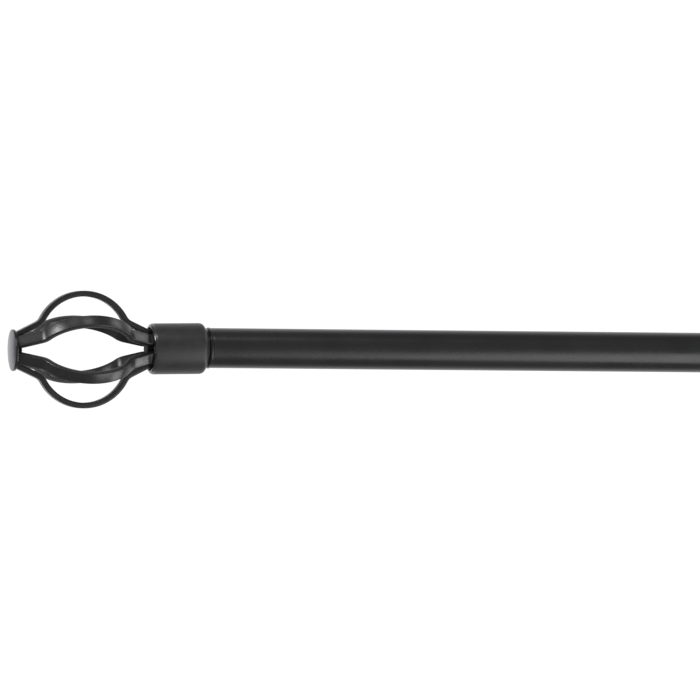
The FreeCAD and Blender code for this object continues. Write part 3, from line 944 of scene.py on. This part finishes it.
thumbLook = {"shank": 2.3, "neckRadius": 3.6, "neckLength": 1.4, "headRadius": 5.1, "headLength": 6.0,
             "edge": 0.7, "dishRadius": 3.4, "dish": 0.5}
gripLook = {"width": 0.95, "thickness": 1.0, "edge": 0.3, "count": 18, "outer": 5.5, "inset": 0.75,
            "bevel": 0.25}
thumbThreadLook = {"radius": 2.45, "ridge": 0.16, "pitch": 0.8, "inset": 0.4}
padLook = {"radius": 2.3, "edge": 0.35}


# A hand screw with a ribbed head, along +x from its pad to its head.
def thumbScrew(side, what, start, end, place):
    look = thumbLook
    head = end - look["headLength"]
    neck = head - look["neckLength"]
    body = lathe(f"{side}{what}ScrewBody", [
        (start, 0, 0), (start, look["shank"], 0.3), (neck, look["shank"], 0.1),
        (neck, look["neckRadius"], 0.4), (head, look["neckRadius"], 0.3),
        (head, look["headRadius"], look["edge"]), (end, look["headRadius"], look["edge"]),
        (end, look["dishRadius"], 0.3), (end - look["dish"], look["dishRadius"] - 1, 0.5),
        (end - look["dish"], 0, 0)], place, 72, closed=False)
    finish(body, paints["bracketPaint"])
    level = gripLook["outer"] - gripLook["thickness"] / 2
    path = [(head + gripLook["inset"], 0, level), (end - gripLook["inset"], 0, level)]
    grip = barsAround(f"{side}{what}Grip", path, gripLook, paints["bracketPaint"], place)
    bevelled(grip, gripLook["bevel"])
    finish(grip, paints["bracketPaint"])
    inset = thumbThreadLook["inset"]
    turns = (neck - start - 2 * inset) / thumbThreadLook["pitch"]
    thread = screwThread(f"{side}{what}Thread", dict(thumbThreadLook, turns=turns), paints["bracketPaint"],
                         place @ Matrix.Translation(((start + inset) * mm, 0, 0)))
    piece = joined(f"{side}{what}Screw", [body, grip, thread])
    node = f"{side}_{what.lower()}_screw"
    return stand(piece, f"{node}_body", "black_metal", node)


def pad(side, what, face, back, place):
    look = padLook
    piece = lathe(f"{side}{what}Pad", [
        (face, 0, 0), (face, look["radius"], look["edge"]), (back, look["radius"], 0.15), (back, 0, 0)],
        place, 48, closed=False)
    finish(piece, paleNylon)
    node = f"{side}_{what.lower()}_pad"
    return stand(piece, f"{node}_body", "pad_nylon", node)


for side in ("left", "right"):
    plateLow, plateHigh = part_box(f"{side}_wall_plate")
    x = (plateLow.x + plateHigh.x) / 2
    wallPlate(side, x)
    armSocket(side, x)
    arm(side, x)
    cradle(side, x)
    low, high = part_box(f"{side}_rod_screw")
    atRod = Matrix.Translation((x, rodY, 0)) @ toRoom
    thumbScrew(side, "Rod", (rodY - high.y) / mm, (rodY - low.y) / mm, atRod)
    low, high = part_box(f"{side}_rod_pad")
    pad(side, "Rod", (rodY - high.y) / mm, (rodY - low.y) / mm, atRod)
    low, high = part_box(f"{side}_arm_screw")
    under = Matrix.Translation((x, (low.y + high.y) / 2, 0)) @ downwards
    thumbScrew(side, "Arm", -high.z / mm, -low.z / mm, under)
    low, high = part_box(f"{side}_arm_pad")
    pad(side, "Arm", -high.z / mm, -low.z / mm, under)
print("brackets made")


# White behind the rod and dim in front, as in a small studio, and plain white to the camera.
def studioWorld():
    world = bpy.data.worlds.new("studio")
    world.use_nodes = True
    nodes, links = world.node_tree.nodes, world.node_tree.links
    nodes.clear()
    way = nodes.new("ShaderNodeTexCoord").outputs["Generated"]
    parts = nodes.new("ShaderNodeSeparateXYZ")
    links.new(way, parts.inputs["Vector"])
    sheet = nodes.new("ShaderNodeMath")  # the white sheet behind ends a little to the left
    sheet.operation = "MULTIPLY"
    links.new(rangeOf(nodes, links, parts.outputs["Y"], 0, 1, -1, 1), sheet.inputs[0])
    links.new(rangeOf(nodes, links, parts.outputs["X"], 0.6, 1, -0.40, -0.30), sheet.inputs[1])
    room = rampOf(nodes, links, sheet.outputs[0], [
        (0.0, (0.37, 0.37, 0.37)), (0.5, (0.25, 0.25, 0.255)), (0.6, (0.25, 0.25, 0.255)),
        (0.78, (0.80, 0.78, 0.82)), (0.9, (1.0, 0.98, 1.02))])
    studio = nodes.new("ShaderNodeBackground")
    links.new(room, studio.inputs["Color"])
    studio.inputs["Strength"].default_value = 1.0
    white = nodes.new("ShaderNodeBackground")
    white.inputs["Color"].default_value = (1, 1, 1, 1)
    white.inputs["Strength"].default_value = 1.05
    mix = nodes.new("ShaderNodeMixShader")
    links.new(nodes.new("ShaderNodeLightPath").outputs["Is Camera Ray"], mix.inputs["Fac"])
    links.new(studio.outputs["Background"], mix.inputs[1])
    links.new(white.outputs["Background"], mix.inputs[2])
    output = nodes.new("ShaderNodeOutputWorld")
    links.new(mix.outputs["Shader"], output.inputs["Surface"])
    return world


scene.world = studioWorld()
scene.view_settings.view_transform = "Standard"

aimAt = Vector((leftEnd + 0.03, rodY, 0))  # what the lamps point at
lamps = {
    "lowRight": {"way": (0.575, -0.68, -0.42), "distance": 1.36, "size": (1.1, 1.65), "power": 12.6},
    "rightBelow": {"way": (0.82, -0.05, -0.57), "distance": 2.2, "size": (0.9, 0.8), "power": 10},
    "rightAbove": {"way": (0.82, -0.05, 0.57), "distance": 2.2, "size": (0.9, 0.8), "power": 6},
    "high": {"way": (-0.08, -0.54, 0.84), "distance": 1.3, "size": (0.36, 0.36), "power": 1.7},
    "highLeft": {"way": (-0.50, -0.37, 0.78), "distance": 1.3, "size": (0.5, 0.5), "power": 1.0},
    "farLeft": {"way": (-0.90, -0.08, 0.38), "distance": 1.3, "size": (0.6, 0.46), "power": 10},
}
for name, look in lamps.items():
    data = bpy.data.lights.new(name, "AREA")
    data.shape = "ELLIPSE"
    data.size, data.size_y = look["size"]
    data.energy = look["power"]
    lamp = bpy.data.objects.new(name, data)
    scene.collection.objects.link(lamp)
    way = Vector(look["way"]).normalized()
    lamp.matrix_world = (Matrix.Translation(aimAt + way * look["distance"])
                         @ way.to_track_quat("Z", "Y").to_matrix().to_4x4())
    lamp.visible_camera = False

floorLook = {"size": 24, "drop": 1.3}
floorValues = {"Base Color": (0.86, 0.86, 0.85, 1), "Roughness": 0.8}


def studioFloor():
    bm = bmesh.new()
    bmesh.ops.create_grid(bm, x_segments=2, y_segments=2, size=floorLook["size"] / 2)
    bmesh.ops.translate(bm, vec=(aimAt.x, rodY, -floorLook["drop"]), verts=bm.verts)
    floor = objectFrom("floor", bm)
    finish(floor, newMaterial("floorPaint", floorValues)[0])
    floor.visible_glossy = False


studioFloor()

cameraLook = {"lens": 600, "azimuth": -14, "roll": 0.535, "viewWidth": 0.278, "aimAlong": 0.05725,
              "aimDrop": 0.00026, "clipEnd": 100}


def camera():
    look = cameraLook
    data = bpy.data.cameras.new("camera")
    data.lens = look["lens"]
    data.clip_end = look["clipEnd"]
    piece = bpy.data.objects.new("camera", data)
    scene.collection.objects.link(piece)
    scene.camera = piece
    azimuth = math.radians(look["azimuth"])
    back = Vector((math.sin(azimuth), -math.cos(azimuth), 0))
    aim = Vector((leftEnd + look["aimAlong"], rodY, -look["aimDrop"]))
    distance = look["viewWidth"] * look["lens"] / data.sensor_width
    facing = (-back).to_track_quat("-Z", "Y").to_matrix().to_4x4()
    piece.matrix_world = (Matrix.Translation(aim + back * distance) @ facing
                          @ Matrix.Rotation(math.radians(look["roll"]), 4, "Z"))


camera()
print("studio made")
